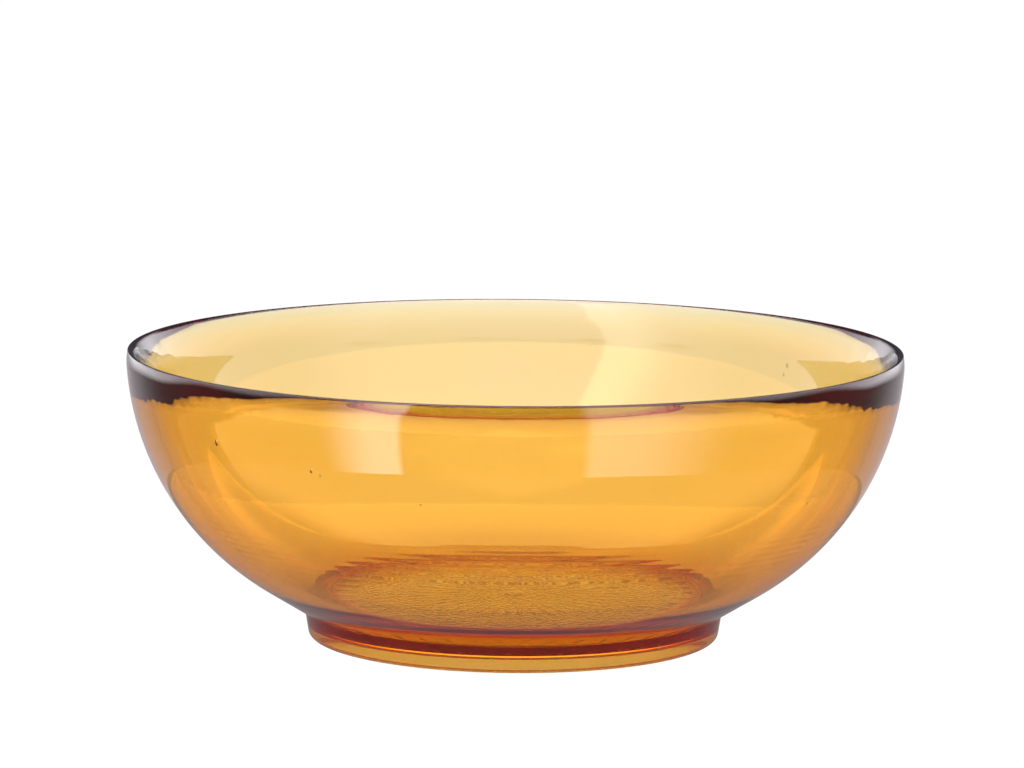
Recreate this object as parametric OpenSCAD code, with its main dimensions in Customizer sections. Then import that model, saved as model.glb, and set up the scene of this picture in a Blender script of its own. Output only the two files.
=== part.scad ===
// Round amber glass bowl on a low foot, origin at the middle of the standing plane, +Z up.
// The glass is one fused casting. Each node is one zone of it, and the zones meet face to face.

/* [Bowl] */
// Outer diameter over the lip
rim_d = 230; // [228:1:232]
// Height of the lip above the standing plane
bowl_h = 86; // [85:0.5:90]
// Radius of the curve of the side, seen in section
side_r = 82.8; // [82.4:0.1:83]
// Height of the centre of that curve
side_z = 86.9; // [86.5:0.1:88]
// Glass thickness at the foot of the lip
wall_t = 5; // [4.8:0.1:5.4]

/* [Lip] */
// Height of the lip, over which the wall thins towards its edge
lip_h = 12; // [9:0.5:16]
// Rounding of the outer edge
out_round = 0.4; // [0.3:0.05:0.6]
// Rounding of the inner edge
in_round = 1.8; // [1.4:0.1:2]
// Angle from upright at which the inner face runs into that rounding
flare_a = 26; // [22:1:30]
// How far the outer face leans in at the edge
lean = 0.4; // [0.2:0.1:0.8]
// Height over which it leans in
lean_h = 4; // [3:0.5:6]

/* [Floor] */
// Height of the inside floor above the standing plane
floor_z = 12; // [11:0.5:13]
// Radius at which the inside curve would meet the flat floor
floor_edge_r = 54.5; // [54:0.5:56]
// Radius of the soft curve between floor and wall
floor_fillet = 10; // [8:0.5:11]
// Diameter of the floor's flat part
floor_d = 104; // [100:1:104]

/* [Foot] */
// Outer diameter of the foot where it meets the body
foot_d = 124.4; // [124:0.2:126]
// Height of the foot
foot_h = 8; // [7.5:0.5:8.5]
// Rounding of the foot's lower outer edge
foot_round = 2; // [1:0.1:2]
// How far the foot tapers inwards on its way down
foot_taper = 1; // [0.5:0.1:1]
// Diameter of the hollow under the base
hollow_d = 115; // [113:0.5:115]
// Depth of the hollow under the base
hollow_h = 5.2; // [4.6:0.1:5.6]
// Rounding of the hollow's inner corner
hollow_round = 1.5; // [1:0.1:2]
// Rounding of the foot's lower inner edge
bearing_round = 0.6; // [0.4:0.1:0.8]

/* [Stipple] */
// Distance between neighbouring dots under the base
dot_pitch = 8.5; // [8:0.5:12]
// Width of a dot
dot_d = 5; // [4:0.2:6]
// How far a dot stands down from the base
dot_h = 0.5; // [0.3:0.1:0.6]

/* [Hidden] */
turned_fn = 180;
dot_fn = 64;
dome_fn = 360;
$fn = turned_fn;

// How far curves that touch are let into each other, so that they join in one clean line
overlap = 0.01;

rim_r = rim_d / 2;
edge_z = bowl_h - out_round;
lip_z = bowl_h - lip_h;
lean_z = bowl_h - lean_h;

// Centre of the side's outer curve, placed so that the bowl is widest where the lip starts to lean in
side_x = rim_r - sqrt(pow(side_r, 2) - pow(side_z - lean_z, 2));

// Inner curve: an arc that would be upright at the height of its centre and runs down to the floor's edge
inner_rim_r = rim_r - wall_t;
inner_drop = side_z - floor_z;
inner_run = inner_rim_r - floor_edge_r;
inner_r = (pow(inner_run, 2) + pow(inner_drop, 2)) / (2 * inner_run);
inner_x = inner_rim_r - inner_r;

// Fillet between the floor and the inner curve: its centre, and the direction to it from the curve's centre
fillet_z = floor_z + floor_fillet;
fillet_x = inner_x + sqrt(pow(inner_r - floor_fillet, 2) - pow(side_z - fillet_z, 2));
fillet_a = atan2(fillet_z - side_z, fillet_x - inner_x);
curve_touch_z = side_z + inner_r * sin(fillet_a);

// Foot and hollow
foot_r = foot_d / 2;
bearing_out_r = foot_r - foot_taper - foot_round;
hollow_r = hollow_d / 2;
corner_r = hollow_r - hollow_round;
disc_r = floor_d / 2;
dot_rings = floor((disc_r - dot_d) / dot_pitch);
dot_sphere_r = (pow(dot_d / 2, 2) + pow(dot_h, 2)) / (2 * dot_h);

// Angle at which a line from p touches the circle of radius r about c, on the side given by turn
function touch_angle(p, c, r, turn) =
    atan2(p[1] - c[1], p[0] - c[0]) + turn * acos(r / norm(p - c));

// Points along an arc
function arc(c, r, start, end, steps) = [
    for (i = [0:steps])
        let (a = start + (end - start) * i / steps)
            c + r * [cos(a), sin(a)]
];

// Radius of the inner and outer curves at height z
function inner_side(z) = inner_x + sqrt(pow(inner_r, 2) - pow(side_z - z, 2));
function outer_side(z) = side_x + sqrt(pow(side_r, 2) - pow(side_z - z, 2));

side_touch_a = touch_angle([foot_r, foot_h], [side_x, side_z], side_r, 1);
side_touch = [side_x, side_z] + (side_r - overlap) * [cos(side_touch_a), sin(side_touch_a)];
foot_touch_a = touch_angle([foot_r, foot_h], [bearing_out_r, foot_round], foot_round, -1);

// The lip: its outer face bends in a little to a small round edge
lean_power = 1.5;
lean_a = atan(lean_power * lean / (edge_z - lean_z));
edge_x = outer_side(edge_z) - lean - out_round;

// Its inner face flares out from the wall's curve to a wider round, and the two rounds meet at the top
top_flat = 0.1;
round_x = edge_x - top_flat;
round_z = bowl_h - in_round;
flare_z = round_z + in_round * sin(flare_a);
flare_x = round_x - in_round * cos(flare_a);
flare = flare_x - inner_side(flare_z);
flare_power = tan(flare_a) * (flare_z - lip_z) / flare;

function lip_out(z) = outer_side(z) - lean * pow(max(0, z - lean_z) / (edge_z - lean_z), lean_power);
function lip_in(z) = inner_side(z) + flare * pow((z - lip_z) / (flare_z - lip_z), flare_power);

// Steps in the lip's two faces and in each small round
curve_steps = 16;
round_steps = 10;

// Rectangle right of the axis between two heights and two radii
module band(low, high, from = 0, to = rim_r) {
    translate([from, low])
        square([to - from, high - low]);
}

// Everything inside the outer surface of the body, from the foot joint upwards
module outer_section() {
    intersection() {
        translate([side_x, side_z])
            circle(side_r);
        band(foot_h, side_z);
    }
    polygon([
        [0, foot_h],
        [foot_r, foot_h],
        side_touch,
        [0, side_touch[1]]
    ]);
}

// The air inside the bowl
module inner_section() {
    intersection() {
        band(floor_z, side_z);
        union() {
            intersection() {
                translate([inner_x, side_z])
                    circle(inner_r);
                band(curve_touch_z, side_z);
            }
            translate([fillet_x, fillet_z])
                circle(floor_fillet + overlap);
            band(floor_z, side_z, to = fillet_x);
        }
    }
}

// The lip: the top of the wall, thinning to a round fire-polished edge
module rim_lip() {
    out_step = (edge_z - lip_z) / curve_steps;
    in_step = (flare_z - lip_z) / curve_steps;
    outside = [for (i = [0:curve_steps - 1]) let (z = lip_z + i * out_step) [lip_out(z), z]];
    outer_edge = arc([edge_x, edge_z], out_round, lean_a, 90, round_steps);
    inner_edge = arc([round_x, round_z], in_round, 90, 180 - flare_a, round_steps);
    inside = [for (i = [1:curve_steps]) let (z = flare_z - i * in_step) [lip_in(z), z]];
    color([0.93, 0.66, 0.24, 0.6])
        rotate_extrude()
            polygon(concat(outside, outer_edge, inner_edge, inside));
}

// The curved side, from the foot joint to the lip, thickening downwards
module side_wall() {
    color([0.95, 0.70, 0.30, 0.6])
        rotate_extrude()
            intersection() {
                difference() {
                    outer_section();
                    inner_section();
                }
                band(foot_h, lip_z, from = disc_r);
            }
}

// The thick floor between the inside of the bowl and the hollow under it
module floor_disc() {
    color([0.82, 0.52, 0.16, 0.7])
        rotate_extrude()
            band(hollow_h, floor_z, to = disc_r);
}

// The foot: a tapered ring with a narrow flat bearing face, a rounded hollow and a flange to the floor
module foot_ring() {
    top = [[disc_r, foot_h], [foot_r, foot_h]];
    outer_edge = arc([bearing_out_r, foot_round], foot_round, foot_touch_a, -90, round_steps);
    inner_edge = arc([hollow_r + bearing_round, bearing_round], bearing_round, 270, 180, round_steps);
    corner = arc([corner_r, hollow_h - hollow_round], hollow_round, 0, 90, round_steps);
    color([0.75, 0.45, 0.12, 0.7])
        rotate_extrude()
            polygon(concat(top, outer_edge, inner_edge, corner, [[disc_r, hollow_h]]));
}

// One shallow round dot hanging from the underside of the floor
module dot() {
    rotate_extrude($fn = dot_fn)
        intersection() {
            translate([0, dot_sphere_r - dot_h])
                circle(dot_sphere_r, $fn = dome_fn);
            translate([0, -dot_h])
                square([dot_d, dot_h]);
        }
}

// Rings of dots that roughen the underside of the floor
module stipple_dots() {
    color([0.70, 0.42, 0.12, 0.7])
        translate([0, 0, hollow_h]) {
            dot();
            for (ring = [1:dot_rings]) {
                count = floor(2 * PI * ring);
                for (i = [0:count - 1])
                    rotate([0, 0, 360 * i / count])
                        translate([ring * dot_pitch, 0, 0])
                            dot();
            }
        }
}

rim_lip();
side_wall();
floor_disc();
foot_ring();
stipple_dots();
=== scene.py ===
"""The looks of a round amber glass bowl: one fused casting shown as the zones it is formed from."""

import math
from collections import namedtuple

import bmesh
import bpy
from mathutils import Matrix, Vector, noise


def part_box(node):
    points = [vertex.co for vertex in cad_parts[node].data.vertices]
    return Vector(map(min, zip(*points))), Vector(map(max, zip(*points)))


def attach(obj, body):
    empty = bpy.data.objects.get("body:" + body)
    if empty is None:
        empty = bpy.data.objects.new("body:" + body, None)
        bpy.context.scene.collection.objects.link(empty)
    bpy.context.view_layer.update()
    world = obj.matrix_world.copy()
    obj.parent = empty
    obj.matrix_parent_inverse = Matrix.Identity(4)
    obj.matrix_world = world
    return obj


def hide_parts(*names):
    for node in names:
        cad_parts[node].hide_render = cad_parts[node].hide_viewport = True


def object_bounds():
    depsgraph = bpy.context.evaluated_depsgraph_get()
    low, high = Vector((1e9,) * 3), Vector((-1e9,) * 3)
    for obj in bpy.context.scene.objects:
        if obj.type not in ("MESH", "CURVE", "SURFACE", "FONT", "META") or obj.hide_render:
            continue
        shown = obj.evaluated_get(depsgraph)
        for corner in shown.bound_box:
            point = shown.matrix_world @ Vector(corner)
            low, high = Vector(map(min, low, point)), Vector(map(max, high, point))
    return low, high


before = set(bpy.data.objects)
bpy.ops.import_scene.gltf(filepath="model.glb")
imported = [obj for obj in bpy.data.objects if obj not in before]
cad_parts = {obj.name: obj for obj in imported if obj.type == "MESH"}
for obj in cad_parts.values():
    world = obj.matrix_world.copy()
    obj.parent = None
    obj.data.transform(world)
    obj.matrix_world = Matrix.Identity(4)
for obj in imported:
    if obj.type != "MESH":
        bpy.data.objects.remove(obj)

CAD_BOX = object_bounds()
MM = 0.001


# ---------------------------------------------------------------- sizes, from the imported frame

LIP_LOW, LIP_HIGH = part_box("rim_lip")
DISC_LOW, DISC_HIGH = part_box("floor_disc")
FOOT_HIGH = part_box("foot_ring")[1]

RIM_R = LIP_HIGH.x
RIM_Z = LIP_HIGH.z
LIP_Z = LIP_LOW.z
FOOT_R = FOOT_HIGH.x
FOOT_Z = FOOT_HIGH.z
FLOOR_Z = DISC_HIGH.z
HOLLOW_Z = DISC_LOW.z
DISC_R = DISC_HIGH.x

# The section's curves, as the design has them
SIDE_R = 82.8 * MM            # outer curve of the side
SIDE_Z = 86.9 * MM            # height of its centre
WALL_T = 5.0 * MM             # glass at the foot of the lip
OUT_ROUND = 0.4 * MM          # rounding of the lip's outer edge
IN_ROUND = 1.8 * MM           # rounding of its inner edge
FLARE_A = 26.0                # angle from upright at which the inner face runs into that rounding
TOP_FLAT = 0.1 * MM           # between the two rounds
LEAN = 0.4 * MM               # how far the lip's outer face leans in
LEAN_H = 4.0 * MM             # over this height
LEAN_POWER = 1.5              # and how gently that starts
FLOOR_EDGE_R = 54.5 * MM      # where the inner curve would meet the floor
FLOOR_FILLET = 10.0 * MM      # soft curve between floor and wall
FOOT_ROUND = 2.0 * MM         # rounding of the foot's lower outer edge
FOOT_TAPER = 1.0 * MM         # how far the foot goes inwards on its way down
HOLLOW_R = 57.5 * MM          # hollow under the base
HOLLOW_ROUND = 1.5 * MM       # rounding of its inner corner
BEARING_ROUND = 0.6 * MM      # rounding of the foot's lower inner edge
JOIN_GAP = 0.005 * MM         # each zone stops this far short of a face it shares


def polar(centre, radius, angle):
    a = math.radians(angle)
    return (centre[0] + radius * math.cos(a), centre[1] + radius * math.sin(a))


def arc(centre, radius, start, end, steps):
    return [polar(centre, radius, start + (end - start) * i / steps) for i in range(steps + 1)]


def line(a, b, steps):
    return [(a[0] + (b[0] - a[0]) * i / steps, a[1] + (b[1] - a[1]) * i / steps)
            for i in range(steps + 1)]


def touch_angle(point, centre, radius, turn):
    """The angle at which a line from point touches the circle, on the side given by turn."""
    dx, dy = point[0] - centre[0], point[1] - centre[1]
    towards = math.degrees(math.atan2(dy, dx))
    return towards + turn * math.degrees(math.acos(radius / math.hypot(dx, dy)))


# Outer side: one arc, down to where the straight cone from the foot touches it
EDGE_Z = RIM_Z - OUT_ROUND
LEAN_Z = RIM_Z - LEAN_H
SIDE = (RIM_R - math.sqrt(SIDE_R ** 2 - (SIDE_Z - LEAN_Z) ** 2), SIDE_Z)
SIDE_TOUCH = touch_angle((FOOT_R, FOOT_Z), SIDE, SIDE_R, 1)
LIP_TOUCH = math.degrees(math.asin((LIP_Z - SIDE_Z) / SIDE_R))

# Inner side: one arc, down to the fillet at the floor
INNER_RUN = RIM_R - WALL_T - FLOOR_EDGE_R
INNER_R = (INNER_RUN ** 2 + (SIDE_Z - FLOOR_Z) ** 2) / (2 * INNER_RUN)
INNER = (RIM_R - WALL_T - INNER_R, SIDE_Z)
FILLET_Z = FLOOR_Z + FLOOR_FILLET
FILLET = (INNER[0] + math.sqrt((INNER_R - FLOOR_FILLET) ** 2 - (SIDE_Z - FILLET_Z) ** 2), FILLET_Z)
FILLET_TOUCH = math.degrees(math.atan2(FILLET[1] - INNER[1], FILLET[0] - INNER[0]))
INNER_LIP_TOUCH = math.degrees(math.asin((LIP_Z - SIDE_Z) / INNER_R))

CORNER_R = HOLLOW_R - HOLLOW_ROUND


def inner_side(z):
    return INNER[0] + math.sqrt(INNER_R ** 2 - (SIDE_Z - z) ** 2)


def outer_side(z):
    return SIDE[0] + math.sqrt(SIDE_R ** 2 - (SIDE_Z - z) ** 2)


# The lip's two rounds, and the flare of its inner face
EDGE_X = outer_side(EDGE_Z) - LEAN - OUT_ROUND
ROUND = (EDGE_X - TOP_FLAT, RIM_Z - IN_ROUND)
FLARE_X, FLARE_Z = polar(ROUND, IN_ROUND, 180 - FLARE_A)
FLARE = FLARE_X - inner_side(FLARE_Z)
FLARE_POWER = math.tan(math.radians(FLARE_A)) * (FLARE_Z - LIP_Z) / FLARE


# ---------------------------------------------------------------- small surface detail, as heights

STIPPLE_CELL = 1.5 * MM       # size of one granule under the floor
STIPPLE_DEEP = 0.38 * MM      # how far granules stand down
STIPPLE_EDGE = 1.2 * MM       # the stipple dies out this near the hollow's corner
GRANULE_STEEP = 1.5           # how fast a granule falls away from its middle
PATCHES = 9 * MM              # patches of taller and shorter granules are this large
GRIT = 0.8 * MM               # fine roughness between the granules
SPOKES = 42                   # faint spokes pressed into it
SPOKE_DEEP = 0.34 * MM
SPOKE_WANDER = 12 * MM        # the spokes wander over this distance
INNER_RING = (0.44, 0.10)     # the spokes show in two rings: place and width as shares of the corner's radius
OUTER_RING = (0.93, 0.045)
GATE_R = 4.0 * MM             # the mark at the very middle
GATE_DEEP = 0.4 * MM
GATE_SLOPE = 0.4              # share of its radius over which it rises


def grain(x, y, scale, seed):
    """Smooth noise from -1 to 1 over a distance of scale."""
    return noise.noise(Vector((x / scale + seed * 17.3, y / scale - seed * 5.1, seed * 3.7)))


def bump(value, middle, width):
    return math.exp(-((value - middle) / width) ** 2)


def clamp(value):
    return min(1.0, max(0.0, value))


def stipple(x, y):
    """How far the floor's underside stands down at (x, y): granules, spokes and a mark in the middle."""
    r, turn = math.hypot(x, y), math.atan2(y, x)
    fade = clamp((CORNER_R - r) / STIPPLE_EDGE)
    cell = Vector((x / STIPPLE_CELL, y / STIPPLE_CELL, 0.4))
    nearest = noise.voronoi(cell, distance_metric="DISTANCE")[0][0]
    dome = max(0.0, 1.0 - GRANULE_STEEP * nearest)
    uneven = 0.75 + 0.5 * grain(x, y, PATCHES, 2)
    rough = 0.25 * grain(x, y, GRIT, 5)
    inner, outer = (bump(r, place * CORNER_R, width * CORNER_R) for place, width in (INNER_RING, OUTER_RING))
    ring = inner + 1.3 * outer
    spoke = max(0.0, math.cos(SPOKES * turn + 0.6 * grain(x, y, SPOKE_WANDER, 3))) ** 2
    gate = clamp((GATE_R - r) / (GATE_SLOPE * GATE_R))
    return (STIPPLE_DEEP * fade * max(0.0, dome * uneven + rough)
            + SPOKE_DEEP * fade * ring * spoke + GATE_DEEP * gate)


# ---------------------------------------------------------------- lathe

JOIN = "join"                 # face attribute: 1 on a face that only meets the next zone of the glass
ROUGH = "rough"               # face attribute: 1 on a stippled face
SAME_PLACE = 1e-8             # section points closer than this are one point
ON_AXIS = 1e-7                # a ring smaller than this is a single point

AROUND = 384                  # segments round the axis for the wall
AROUND_LIP = 720              # for the lip, whose edge shows sharply
AROUND_BASE = 640             # for the floor and the foot, which have the stipple


def section_rings(runs):
    """The section's points without repeats, each with the number of its run, and for each stretch between
    them whether it is a join and the number of its run."""
    rings, stretches = [], []
    for number, (points, is_join) in enumerate(runs):
        for point in points:
            if rings and math.dist(point, rings[-1][0]) < SAME_PLACE:
                continue
            if rings:
                stretches.append((is_join, number))
            rings.append((point, number))
    if math.dist(rings[0][0], rings[-1][0]) < SAME_PLACE:
        rings.pop()
    return rings, stretches


def ring_faces(low, high, around):
    """Faces between two neighbouring rings, either of which may be a single point on the axis."""
    for k in range(around):
        n = (k + 1) % around
        if len(low) == 1:
            yield (low[0], high[n], high[k])
        elif len(high) == 1:
            yield (low[k], low[n], high[0])
        else:
            yield (low[k], low[n], high[n], high[k])


def add_seed(verts, faces, angle, distance, height, radius, stretch=1.8, rings=10, around=14):
    """Adds the surface of a small bubble in the glass, drawn out upwards."""
    x, y = polar((0, 0), distance, angle)
    start = len(verts)
    verts.append((x, y, height - radius * stretch))
    for i in range(1, rings):
        ring_r, ring_z = polar((0, 0), radius, -90 + 180 * i / rings)
        for k in range(around):
            dx, dy = polar((0, 0), ring_r, 360 * k / around)
            verts.append((x + dx, y + dy, height + ring_z * stretch))
    top = len(verts)
    verts.append((x, y, height + radius * stretch))
    for k in range(around):
        n = (k + 1) % around
        faces.append((start, start + 1 + n, start + 1 + k))
        for i in range(rings - 2):
            low, high = start + 1 + i * around, start + 1 + (i + 1) * around
            faces.append((low + k, low + n, high + n, high + k))
        faces.append((top - around + k, top - around + n, top))


def lathe(name, runs, around, reshape, rough_run=None, seeds=()):
    """A closed body of revolution. runs are stretches of section points in order, each (points, is_join).
    reshape(x, y, z, run) gives the place of a turned point. rough_run is the stretch that is stippled.
    seeds are small bubbles inside the glass, each (angle, distance from the axis, height, radius)."""
    rings, stretches = section_rings(runs)
    verts, members = [], []
    for (r, z), number in rings:
        count = 1 if r < ON_AXIS else around
        members.append(range(len(verts), len(verts) + count))
        for k in range(count):
            a = 2 * math.pi * k / around
            verts.append(reshape(r * math.cos(a), r * math.sin(a), z, number))
    faces, joins, roughs = [], [], []
    for i, (is_join, number) in enumerate(stretches):
        faces += ring_faces(members[i], members[(i + 1) % len(members)], around)
        joins += [1.0 if is_join else 0.0] * around
        roughs += [1.0 if number == rough_run else 0.0] * around
    glass_faces = len(faces)
    for seed in seeds:
        add_seed(verts, faces, *seed)
    seed_faces = len(faces) - glass_faces
    joins += [0.0] * seed_faces
    roughs += [0.0] * seed_faces
    mesh = bpy.data.meshes.new(name)
    mesh.from_pydata(verts, [], faces)
    mesh.attributes.new(JOIN, "FLOAT", "FACE").data.foreach_set("value", joins)
    mesh.attributes.new(ROUGH, "FLOAT", "FACE").data.foreach_set("value", roughs)
    face_outwards(mesh, glass_faces)
    piece = bpy.data.objects.new(name, mesh)
    bpy.context.collection.objects.link(piece)
    return piece


def face_outwards(mesh, glass_faces):
    """Turns faces outwards, and those of bubbles, which come last, into the bubble. All are smooth, with a
    sharp edge round each join."""
    bm = bmesh.new()
    bm.from_mesh(mesh)
    bmesh.ops.recalc_face_normals(bm, faces=bm.faces)
    bm.faces.ensure_lookup_table()
    for face in bm.faces[glass_faces:]:
        face.normal_flip()
    layer = bm.faces.layers.float[JOIN]
    for edge in bm.edges:
        if len(edge.link_faces) == 2 and edge.link_faces[0][layer] != edge.link_faces[1][layer]:
            edge.smooth = False
    for face in bm.faces:
        face.smooth = True
    bm.to_mesh(mesh)
    bm.free()


# ---------------------------------------------------------------- the zones of the glass

LIP_INSIDE = 2                # which run of the lip's section is its inner face
LIP_WAVE = 0.05 * MM          # unevenness of the lip's fire-polished inner face
LIP_STEPS = 60

WALL_INSIDE = 2               # which run of the wall's section is its inner face
WALL_WAVE = 0.03 * MM         # waviness of the wall's inside
WALL_WAVE_L = 19 * MM         # and its length
RING_DEEP = 0.006 * MM        # fine turned rings above the floor
RING_PITCH = 1.9 * MM
RING_Z = 39 * MM              # height of the strongest ring
RING_BAND = 5 * MM            # and how far from it they die out
STILL_TOP = 2 * MM            # the wall stays true this near the lip
STILL_FLOOR = 3 * MM          # and this near the floor
STILL_EDGE = 6 * MM           # and the waviness comes in over this height

FLOOR_UNDER = 2               # which run of the floor's section is its stippled underside
FOOT_UNDER = 6                # which run of the foot's section is the stippled flange

# Bubbles in the wall: angle, height and radius
SEEDS = (
    (-139, 69 * MM, 0.55 * MM),
    (-121, 64.5 * MM, 0.35 * MM),
    (-119.5, 63.5 * MM, 0.22 * MM),
    (-38, 52 * MM, 0.25 * MM),
    (40, 71.5 * MM, 0.45 * MM),
    (40.5, 68.5 * MM, 0.3 * MM),
    (-104, 57 * MM, 0.2 * MM),
)


def lip_out(z):
    """The lip's outer face follows the side and bends in just under the edge."""
    return outer_side(z) - LEAN * (max(0.0, z - LEAN_Z) / (EDGE_Z - LEAN_Z)) ** LEAN_POWER


def lip_in(z):
    """The lip thins towards its edge: its inner face leaves the curve of the wall and flares out."""
    return inner_side(z) + FLARE * ((z - LIP_Z) / (FLARE_Z - LIP_Z)) ** FLARE_POWER


def lip_uneven(x, y, z, run):
    """Slight unevenness of the fire-polished inner face of the lip."""
    if run != LIP_INSIDE:
        return x, y, z
    share = (z - LIP_Z) / (FLARE_Z - LIP_Z)
    a = math.atan2(y, x) * RIM_R
    wave = LIP_WAVE * math.sin(math.pi * clamp(share)) * (
        grain(a, z, 7 * MM, 1) + 0.5 * grain(a, z, 3 * MM, 4))
    r = math.hypot(x, y)
    return x * (r + wave) / r, y * (r + wave) / r, z


def make_lip():
    low = LIP_Z + JOIN_GAP
    outside = [(lip_out(z), z) for z in (LIP_Z + (EDGE_Z - LIP_Z) * i / LIP_STEPS for i in range(LIP_STEPS))]
    inside = [(lip_in(z), z)
              for z in (FLARE_Z - (FLARE_Z - LIP_Z) * i / LIP_STEPS for i in range(1, LIP_STEPS + 1))]
    lean = math.degrees(math.atan(LEAN_POWER * LEAN / (EDGE_Z - LEAN_Z)))
    edge = arc((EDGE_X, EDGE_Z), OUT_ROUND, lean, 90, 16) + arc(ROUND, IN_ROUND, 90, 180 - FLARE_A, 30)
    outside[0] = (outside[0][0], low)
    inside[-1] = (inside[-1][0], low)
    return lathe("rim_lip_glass", [
        (outside, False),
        (edge, False),
        (inside, False),
        (line(inside[-1], outside[0], 6), True),
    ], AROUND_LIP, lip_uneven)


def wall_uneven(x, y, z, run):
    """Slight waviness of the wall's inside, and a few fine turned rings above the floor."""
    if run != WALL_INSIDE or z > LIP_Z - STILL_TOP or z < FLOOR_Z + STILL_FLOOR:
        return x, y, z
    r = math.hypot(x, y)
    a = math.atan2(y, x) * RIM_R
    edges = min(1.0, (LIP_Z - STILL_TOP - z) / STILL_EDGE, (z - FLOOR_Z - STILL_FLOOR) / STILL_EDGE)
    wave = WALL_WAVE * edges * grain(a, z, WALL_WAVE_L, 6)
    rings = RING_DEEP * edges * bump(z, RING_Z, RING_BAND) * math.sin(2 * math.pi * z / RING_PITCH)
    r_new = r + wave + rings
    return x * r_new / r, y * r_new / r, z


def make_wall():
    top, bottom, inward = LIP_Z - JOIN_GAP, FOOT_Z + JOIN_GAP, DISC_R + JOIN_GAP
    inner = arc(INNER, INNER_R, INNER_LIP_TOUCH, FILLET_TOUCH, 260)
    inner[0] = (inner[0][0], top)
    fillet = [p for p in arc(FILLET, FLOOR_FILLET, FILLET_TOUCH, -90, 24) if p[0] > inward + 0.2 * MM]
    outer = arc(SIDE, SIDE_R, SIDE_TOUCH, LIP_TOUCH, 160)
    outer[-1] = (outer[-1][0], top)
    floor, corner, foot = (inward, FLOOR_Z), (inward, bottom), (FOOT_R, bottom)
    seeds = [(angle, (inner_side(z) + outer_side(z)) / 2, z, size) for angle, z, size in SEEDS]
    return lathe("side_wall_glass", [
        (outer, False),
        (line(outer[-1], inner[0], 6), True),
        (inner, False),
        (fillet, False),
        ([floor], False),
        (line(floor, corner, 10), True),
        (line(corner, foot, 8), True),
        (line(foot, outer[0], 24), False),
    ], AROUND, wall_uneven, seeds=seeds)


def make_floor():
    """The floor, with the fine stipple on its underside."""
    edge = DISC_R - JOIN_GAP
    top = line((0, FLOOR_Z), (edge, FLOOR_Z), 40)
    under = line((edge, HOLLOW_Z), (0, HOLLOW_Z), 190)

    def stippled(x, y, z, run):
        return x, y, z - (stipple(x, y) if run == FLOOR_UNDER else 0.0)
    return lathe("floor_disc_glass", [
        (top, False),
        (line(top[-1], under[0], 10), True),
        (under, False),
    ], AROUND_BASE, stippled, rough_run=FLOOR_UNDER)


def make_foot():
    """The foot ring, with the outermost part of the stipple on the flange inside it."""
    top, inward = FOOT_Z - JOIN_GAP, DISC_R + JOIN_GAP
    bearing_out = (FOOT_R - FOOT_TAPER - FOOT_ROUND, FOOT_ROUND)
    start = touch_angle((FOOT_R, FOOT_Z), bearing_out, FOOT_ROUND, -1)
    outer_edge = arc(bearing_out, FOOT_ROUND, start, -90, 24)
    inner_edge = arc((HOLLOW_R + BEARING_ROUND, BEARING_ROUND), BEARING_ROUND, 270, 180, 16)
    corner = arc((CORNER_R, HOLLOW_Z - HOLLOW_ROUND), HOLLOW_ROUND, 0, 90, 20)
    first, flange_low, flange_high = (FOOT_R, top), (inward, HOLLOW_Z), (inward, top)

    def stippled(x, y, z, run):
        return x, y, z - (stipple(x, y) if run == FOOT_UNDER else 0.0)
    return lathe("foot_ring_glass", [
        (line(first, outer_edge[0], 24), False),
        (outer_edge, False),
        (line(outer_edge[-1], inner_edge[0], 8), False),
        (inner_edge, False),
        (line(inner_edge[-1], corner[0], 8), False),
        (corner, False),
        (line(corner[-1], flange_low, 10), False),
        (line(flange_low, flange_high, 8), True),
        (line(flange_high, first, 8), True),
    ], AROUND_BASE, stippled, rough_run=FOOT_UNDER)


# ---------------------------------------------------------------- materials

IOR = 1.51
JOIN_IOR = 1.0                # where zones of the glass meet, light passes straight
STIPPLE_ROUGHNESS = 0.22
HEADROOM = 1.02               # keeps the absorption's colour just above black

# What each metre of glass takes from red, green and blue
TAKEN = (9.0, 74.0, 298.0)
# The base's copy of the glass takes less green, so the floor shows lighter and less red than the wall's glass
# would show it: painted light.
TAKEN_BASE_LIT = (8.0, 35.0, 270.0)
# The foot's copy takes more of every colour, so the foot shows darker: painted shade.
TAKEN_FOOT_SHADED = (24.0, 150.0, 460.0)


def add(tree, kind, **settings):
    node = tree.nodes.new(kind)
    for name, value in settings.items():
        setattr(node, name, value)
    return node


def by_face(tree, attribute, usual, marked):
    """A value that is usual on most faces, and marked on the faces that the attribute marks."""
    mark = add(tree, "ShaderNodeAttribute", attribute_name=attribute)
    value = add(tree, "ShaderNodeMapRange")
    value.inputs["To Min"].default_value = usual
    value.inputs["To Max"].default_value = marked
    tree.links.new(mark.outputs["Fac"], value.inputs["Value"])
    return value.outputs["Result"]


def glass(name, taken):
    """Clear amber glass, tinted by its depth."""
    material = bpy.data.materials.new(name)
    material.use_nodes = True
    tree = material.node_tree
    tree.nodes.clear()
    out = add(tree, "ShaderNodeOutputMaterial")
    shader = add(tree, "ShaderNodeBsdfPrincipled")
    shader.inputs["Base Color"].default_value = (1, 1, 1, 1)
    shader.inputs["Transmission Weight"].default_value = 1
    tree.links.new(by_face(tree, ROUGH, 0.0, STIPPLE_ROUGHNESS), shader.inputs["Roughness"])
    tree.links.new(by_face(tree, JOIN, IOR, JOIN_IOR), shader.inputs["IOR"])
    tint = add(tree, "ShaderNodeVolumeAbsorption")
    most = max(taken) * HEADROOM
    tint.inputs["Color"].default_value = (*[1 - t / most for t in taken], 1)
    tint.inputs["Density"].default_value = most
    tree.links.new(shader.outputs["BSDF"], out.inputs["Surface"])
    tree.links.new(tint.outputs["Volume"], out.inputs["Volume"])
    return material


# One glass in three copies: the wall's own, a lighter one for the base as painted light, and a darker one for
# the foot as painted shade.
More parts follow.
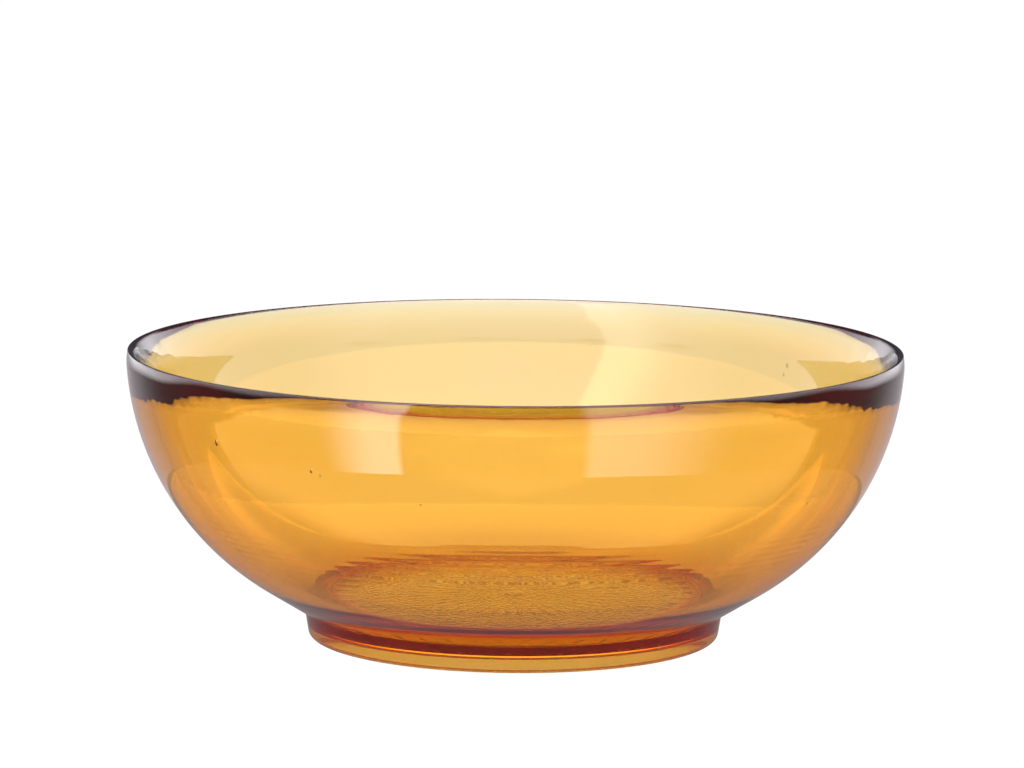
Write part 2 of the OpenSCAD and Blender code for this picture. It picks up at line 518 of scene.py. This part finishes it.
wall_glass = glass("amber_glass", TAKEN)
base_glass_lit = glass("amber_glass_base", TAKEN_BASE_LIT)
foot_glass_shaded = glass("amber_glass_foot_shaded", TAKEN_FOOT_SHADED)
ZONES = (
    (make_lip, ("rim_lip",), "amber_glass", wall_glass),
    (make_wall, ("side_wall",), "amber_glass", wall_glass),
    (make_foot, ("foot_ring",), "amber_glass", foot_glass_shaded),
    (make_floor, ("floor_disc", "stipple_dots"), "amber_glass_base", base_glass_lit),
)
for make, nodes, slot, look in ZONES:
    piece = make()
    piece.data.materials.append(look)
    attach(piece, "root")
    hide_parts(*nodes)


# ---------------------------------------------------------------- sums written as nodes

class Sums:
    """Writes small sums as nodes: each call returns the socket that holds the answer."""

    def __init__(self, tree):
        self.tree = tree

    def put(self, socket, value):
        if isinstance(value, tuple):
            socket.default_value = (*value, 1)
        elif isinstance(value, (int, float)):
            socket.default_value = value
        else:
            self.tree.links.new(value, socket)

    def math(self, operation, a, b=0.0):
        node = add(self.tree, "ShaderNodeMath", operation=operation)
        self.put(node.inputs[0], a)
        self.put(node.inputs[1], b)
        return node.outputs[0]

    def rise(self, value, low, high):
        """0 below low, 1 above high, smooth between."""
        node = add(self.tree, "ShaderNodeMapRange", interpolation_type="SMOOTHSTEP")
        self.put(node.inputs["Value"], value)
        node.inputs["From Min"].default_value = low
        node.inputs["From Max"].default_value = high
        return node.outputs["Result"]

    def within(self, value, low, low_edge, high, high_edge):
        """1 between low and high, falling to 0 over each edge."""
        up = self.rise(value, low - low_edge / 2, low + low_edge / 2)
        down = self.rise(value, high - high_edge / 2, high + high_edge / 2)
        return self.math("MULTIPLY", up, self.math("SUBTRACT", 1.0, down))

    def kept(self, once_loss, long_loss, few=2, many=4):
        """The share of light left after it has bounced inside the glass: the first bounce takes once_loss,
        and the long loss sets in from few bounces to many."""
        depth = add(self.tree, "ShaderNodeLightPath").outputs["Glossy Depth"]
        once = self.math("MULTIPLY", self.rise(depth, 0, 1), once_loss)
        long = self.math("MULTIPLY", self.rise(depth, few, many), long_loss)
        return self.math("SUBTRACT", 1.0, self.math("ADD", once, long))

    def from_middle(self):
        """The distance from the object's own middle."""
        place = add(self.tree, "ShaderNodeTexCoord")
        length = add(self.tree, "ShaderNodeVectorMath", operation="LENGTH")
        self.tree.links.new(place.outputs["Object"], length.inputs[0])
        return length.outputs["Value"]

    def grey(self, value):
        node = add(self.tree, "ShaderNodeCombineXYZ")
        for socket in node.inputs:
            self.put(socket, value)
        return node.outputs[0]

    def mix(self, share, a, b):
        node = add(self.tree, "ShaderNodeMix", data_type="RGBA")
        self.put(node.inputs["Factor"], share)
        self.put(node.inputs["A"], a)
        self.put(node.inputs["B"], b)
        return node.outputs["Result"]


# ---------------------------------------------------------------- the studio round the bowl

# Colours of the studio: low and high, ahead of the bowl, beside it and behind it
BACK_LOW = (0.62, 0.55, 0.58)
SIDE_LOW = (0.26, 0.20, 0.19)
BACK_HIGH = (0.10, 0.085, 0.11)
CEILING_FRONT = (3.8, 3.7, 4.0)
CEILING_SIDE = (2.8, 2.7, 2.8)

# Where they change, in degrees round from the camera's side, so that 180 is straight behind
BESIDE = (45, 85)
REARWARD = (100, 130)
BEHIND = (124, 152)
STRAIGHT_BEHIND = (150, 172)

# Where they change, in degrees above the horizon
CEILING_LOW = 10.5            # the ceiling starts at this height on the camera's side
CEILING_DROP_BESIDE = 9.0     # and this much lower beside the bowl
CEILING_DROP_REAR = 7.0       # and lower again behind that
CEILING_BLUR = 2.5
DARK_BEHIND = (14, 24)        # behind the bowl it is dark from here up
OVERHEAD = (35, 50)           # and bright again from here

# Softboxes. They lean by slant degrees for each degree of height. level is their brightness, and extra what
# the part above the ceiling's edge adds.
Softbox = namedtuple("Softbox", "slant low low_edge high high_edge level extra")
LEFT_BOX = Softbox(slant=-0.17, low=-49, low_edge=20, high=-31.3, high_edge=3, level=5.5, extra=0.5)
RIGHT_BOX = Softbox(slant=0.1, low=20, low_edge=5, high=52, high_edge=38, level=3.2, extra=0.6)
BOX_HEIGHTS = (-70, 10, 62, 12)   # bottom and its soft edge, top and its soft edge

# Shares of the light lost on its way through the glass
SWEEP_ONCE_LOSS = 0.2
STAGE_LONG_LOSS = 0.78
WORLD_LONG_LOSS = 0.5


def paint_world():
    """The studio as the glass reflects it: a white sweep behind, a bright ceiling that stops short of it,
    dark low down at the sides and in front, and two tall softboxes in front on either side of the camera."""
    world = bpy.data.worlds.new("studio")
    bpy.context.scene.world = world
    world.use_nodes = True
    tree = world.node_tree
    tree.nodes.clear()
    out = add(tree, "ShaderNodeOutputWorld")
    back = add(tree, "ShaderNodeBackground")
    place = add(tree, "ShaderNodeTexCoord")
    axes = add(tree, "ShaderNodeSeparateXYZ")
    tree.links.new(place.outputs["Generated"], axes.inputs[0])
    sums = Sums(tree)
    x, y, z = axes.outputs
    degrees = 180 / math.pi
    up = sums.math("MULTIPLY", sums.math("ARCSINE", z), degrees)
    side = sums.math("MULTIPLY", sums.math("ARCTAN2", x, sums.math("MULTIPLY", y, -1.0)), degrees)
    turn = sums.math("ABSOLUTE", side)
    beside = sums.rise(turn, *BESIDE)
    rearward = sums.rise(turn, *REARWARD)
    behind = sums.rise(turn, *BEHIND)
    straight = sums.rise(turn, *STRAIGHT_BEHIND)

    drop_beside = sums.math("MULTIPLY", beside, CEILING_DROP_BESIDE)
    drop_rear = sums.math("MULTIPLY", rearward, CEILING_DROP_REAR)
    edge = sums.math("SUBTRACT", sums.math("SUBTRACT", CEILING_LOW, drop_beside), drop_rear)
    high = sums.rise(sums.math("SUBTRACT", up, edge), -CEILING_BLUR, CEILING_BLUR)
    low_colour = sums.mix(behind, SIDE_LOW, BACK_LOW)
    behind_high = sums.math("MULTIPLY", behind, sums.rise(up, *DARK_BEHIND))
    dark = sums.math("MAXIMUM", straight, behind_high)
    dim = sums.math("MULTIPLY", dark, sums.math("SUBTRACT", 1.0, sums.rise(up, *OVERHEAD)))
    ceiling = sums.mix(beside, CEILING_FRONT, CEILING_SIDE)
    high_colour = sums.mix(dim, ceiling, BACK_HIGH)
    colour = sums.mix(high, low_colour, high_colour)

    tall = sums.within(up, *BOX_HEIGHTS)
    for box in (LEFT_BOX, RIGHT_BOX):
        across = sums.math("ADD", side, sums.math("MULTIPLY", up, box.slant))
        wide = sums.within(across, box.low, box.low_edge, box.high, box.high_edge)
        level = sums.math("ADD", box.level, sums.math("MULTIPLY", high, box.extra))
        colour = sums.mix(sums.math("MULTIPLY", wide, tall), colour, sums.grey(level))
    tree.links.new(colour, back.inputs["Color"])
    tree.links.new(sums.kept(0.0, WORLD_LONG_LOSS), back.inputs["Strength"])
    tree.links.new(back.outputs["Background"], out.inputs["Surface"])


# ---------------------------------------------------------------- the floor under it

FLOOR_GAP = 0.2 * MM          # from the bowl down to the turntable, and from there to the floor
FLOOR_GLOW = 1.03             # the floor as the camera sees it
FLOOR_FLAT = 3.5              # metres to where the floor starts to curve up
SWEEP_R = 4.5                 # and to where it stands upright
SWEEP_TOP = 0.1               # height of the upright part
SWEEP_NEAR, SWEEP_FAR = 0.89, 0.82     # its brightness near the bowl and further out
SWEEP_FADE = (0.30, 0.56)     # where that changes, in metres from the bowl
TURNTABLE_R = 1.69 * RIM_R
TURNTABLE_WHITE = 0.385
TURNTABLE_SHINE = 0.3
UNDER_GLOW = 0.24             # light that reaches the turntable under the foot
UNDER_FADE = (0.7 * FOOT_R, 1.2 * FOOT_R)
UNDER_BOUNCES = (4, 8)        # the loss of light from the turntable sets in over these bounces
STAGE_AROUND = 96


def seen_by(thing, camera=False, transmission=False, glossy=False, diffuse=False, shadow=False):
    thing.visible_camera = camera
    thing.visible_transmission = transmission
    thing.visible_glossy = glossy
    thing.visible_diffuse = diffuse
    thing.visible_shadow = shadow


def pale(name, grey, glow):
    material = bpy.data.materials.new(name)
    material.use_nodes = True
    shader = material.node_tree.nodes["Principled BSDF"]
    shader.inputs["Base Color"].default_value = (grey, grey, grey, 1)
    shader.inputs["Roughness"].default_value = 0.9
    shader.inputs["Specular IOR Level"].default_value = 0.0
    shader.inputs["Emission Color"].default_value = (1, 1, 1, 1)
    shader.inputs["Emission Strength"].default_value = glow
    return material


def spread_light(material):
    """The sweep is lit more strongly close to the bowl, and shows dim in light that has bounced inside the
    glass."""
    tree = material.node_tree
    sums = Sums(tree)
    fall = sums.rise(sums.from_middle(), *SWEEP_FADE)
    glow = sums.math("SUBTRACT", SWEEP_NEAR, sums.math("MULTIPLY", fall, SWEEP_NEAR - SWEEP_FAR))
    shown = sums.math("MULTIPLY", glow, sums.kept(SWEEP_ONCE_LOSS, STAGE_LONG_LOSS))
    tree.links.new(shown, tree.nodes["Principled BSDF"].inputs["Emission Strength"])


def light_under(material):
    """Light that reaches the turntable under the foot."""
    tree = material.node_tree
    sums = Sums(tree)
    near = sums.math("SUBTRACT", 1.0, sums.rise(sums.from_middle(), *UNDER_FADE))
    kept = sums.kept(0.0, STAGE_LONG_LOSS, *UNDER_BOUNCES)
    glow = sums.math("MULTIPLY", kept, sums.math("MULTIPLY", near, UNDER_GLOW))
    white = sums.grey(sums.math("MULTIPLY", kept, TURNTABLE_WHITE))
    shader = tree.nodes["Principled BSDF"]
    tree.links.new(glow, shader.inputs["Emission Strength"])
    tree.links.new(white, shader.inputs["Base Color"])


def sweep_mesh():
    """A flat floor that curves up into an upright edge all round."""
    curve_r = SWEEP_R - FLOOR_FLAT
    section = arc((FLOOR_FLAT, curve_r), curve_r, -90, 0, 24) + [(SWEEP_R, curve_r + SWEEP_TOP)]
    verts, faces = [(0, 0, 0)], []
    for r, z in section:
        verts += [(*polar((0, 0), r, 360 * k / STAGE_AROUND), z) for k in range(STAGE_AROUND)]
    for k in range(STAGE_AROUND):
        n = (k + 1) % STAGE_AROUND
        faces.append((0, 1 + k, 1 + n))
        for i in range(len(section) - 1):
            low, high = 1 + i * STAGE_AROUND, 1 + (i + 1) * STAGE_AROUND
            faces.append((low + k, high + k, high + n, low + n))
    mesh = bpy.data.meshes.new("studio_floor")
    mesh.from_pydata(verts, [], faces)
    return mesh


def turntable_mesh():
    edge = [(*polar((0, 0), TURNTABLE_R, 360 * k / STAGE_AROUND), 0) for k in range(STAGE_AROUND)]
    mesh = bpy.data.meshes.new("turntable")
    mesh.from_pydata(edge, [], [range(STAGE_AROUND)])
    return mesh


def stage_piece(name, mesh, material, height):
    """One sheet of the stage. Sheets that share a mesh each keep their own material."""
    thing = bpy.data.objects.new(name, mesh)
    bpy.context.collection.objects.link(thing)
    thing.location.z = height
    thing.material_slots[0].link = "OBJECT"
    thing.material_slots[0].material = material
    return thing


def make_stage():
    """A pale floor that curves up into a backdrop, and the round turntable top that the bowl stands on."""
    turntable_z = CAD_BOX[0].z - FLOOR_GAP
    floor_z = turntable_z - FLOOR_GAP
    sweep, disc = sweep_mesh(), turntable_mesh()
    for mesh in (sweep, disc):
        mesh.materials.append(None)

    sweep_glow = pale("sweep_glow", 0.0, 1.0)
    spread_light(sweep_glow)
    turntable_white = pale("turntable_white", TURNTABLE_WHITE, 0.0)
    light_under(turntable_white)

    backdrop = stage_piece("studio_floor", sweep, pale("pale_floor", 0.0, FLOOR_GLOW), floor_z)
    sweep_lit = stage_piece("studio_sweep", sweep, sweep_glow, floor_z)
    turntable = stage_piece("turntable", disc, turntable_white, turntable_z)
    shine = stage_piece("turntable_shine", disc, pale("turntable_shine", 0.0, TURNTABLE_SHINE), turntable_z)
    seen_by(backdrop, camera=True)
    seen_by(sweep_lit, transmission=True)
    seen_by(turntable, transmission=True, diffuse=True, shadow=True)
    seen_by(shine, glossy=True)


# ---------------------------------------------------------------- camera

CAMERA_FAR = 14.0 * RIM_R     # distance from the bowl's middle
CAMERA_UP = 9.452             # degrees above the horizon
CAMERA_ROLL = -0.487          # the picture leans this many degrees
LENS = 190.3
SENSOR = 36
SHIFT_X = -0.00235
SHIFT_Y = 0.1055
VIEW_END = 100                # metres


def make_camera():
    data = bpy.data.cameras.new("camera")
    camera = bpy.data.objects.new("camera", data)
    bpy.context.collection.objects.link(camera)
    bpy.context.scene.camera = camera
    target = Vector((0, 0, RIM_Z / 2))
    up = math.radians(CAMERA_UP)
    camera.location = target + CAMERA_FAR * Vector((0, -math.cos(up), math.sin(up)))
    look = (target - camera.location).to_track_quat("-Z", "Y").to_matrix()
    roll = Matrix.Rotation(-math.radians(CAMERA_ROLL), 3, "Z")
    camera.rotation_euler = (look @ roll).to_euler()
    data.lens = LENS
    data.sensor_width = SENSOR
    data.shift_x = SHIFT_X
    data.shift_y = SHIFT_Y
    data.clip_end = VIEW_END


paint_world()
make_stage()
make_camera()

GLASS_BOUNCES = 64            # light goes round inside the lip many times before it comes out

scene = bpy.context.scene
scene.view_settings.view_transform = "Standard"
scene.cycles.max_bounces = GLASS_BOUNCES
scene.cycles.transmission_bounces = GLASS_BOUNCES
scene.cycles.glossy_bounces = GLASS_BOUNCES
scene.cycles.transparent_max_bounces = 24
